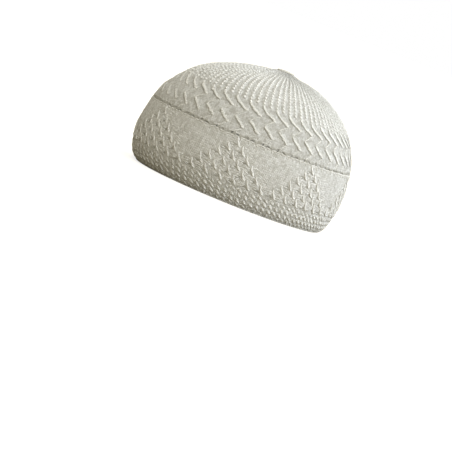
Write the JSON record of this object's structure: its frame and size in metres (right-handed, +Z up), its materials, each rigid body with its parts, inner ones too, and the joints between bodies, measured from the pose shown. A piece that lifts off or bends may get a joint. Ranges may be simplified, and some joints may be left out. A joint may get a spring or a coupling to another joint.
{
  "type": "knitted chechia skullcap",
  "caption": "Close-fitting openwork knitted cotton skullcap: a deep patterned band linked through a row of eyelets to a ribbed dome drawn together at the tip.",
  "frame": {"origin": "centre of the cap's box, level with the rim it stands on", "axes": "+Z up towards the tip, -Y towards the brow, +X towards the wearer's left"},
  "size_m": [0.153, 0.1887, 0.118],
  "materials": {
    "cotton_knit": "matte off-white cotton, knitted"
  },
  "bodies": {
    "root": {"band": "cotton_knit", "crown": "cotton_knit"}
  },
  "joints": []
}
